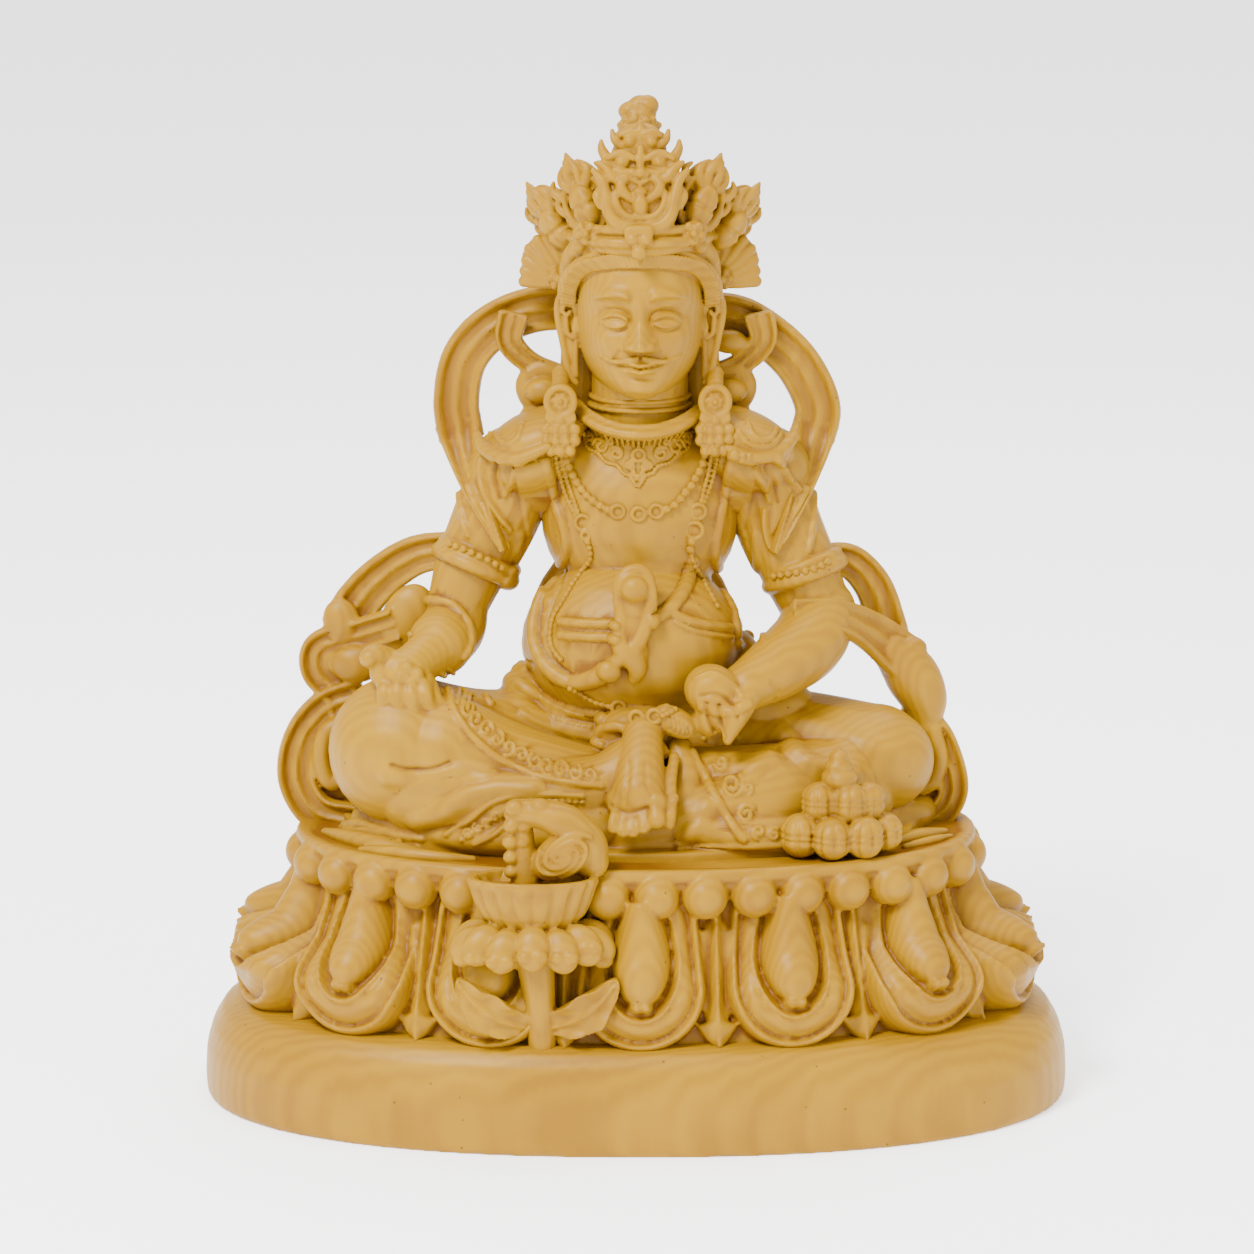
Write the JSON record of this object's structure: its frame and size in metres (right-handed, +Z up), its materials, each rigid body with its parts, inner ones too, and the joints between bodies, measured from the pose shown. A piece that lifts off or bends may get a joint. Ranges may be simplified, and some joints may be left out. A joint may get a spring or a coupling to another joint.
{
  "type": "carved deity statue",
  "caption": "Seated, crowned deity with flying scarves on an oval lotus throne and plinth, carved from one block of boxwood as an ornament.",
  "frame": {"origin": "middle of the plinth's underside, where the statue stands", "axes": "+Z up, -Y the way the figure faces, +X to the right of someone who looks at its face"},
  "size_m": [0.1149, 0.065, 0.132],
  "materials": {
    "boxwood": "satin, fine-grained honey-yellow boxwood"
  },
  "bodies": {
    "root": {"jambhala_statue": "boxwood"}
  },
  "joints": []
}
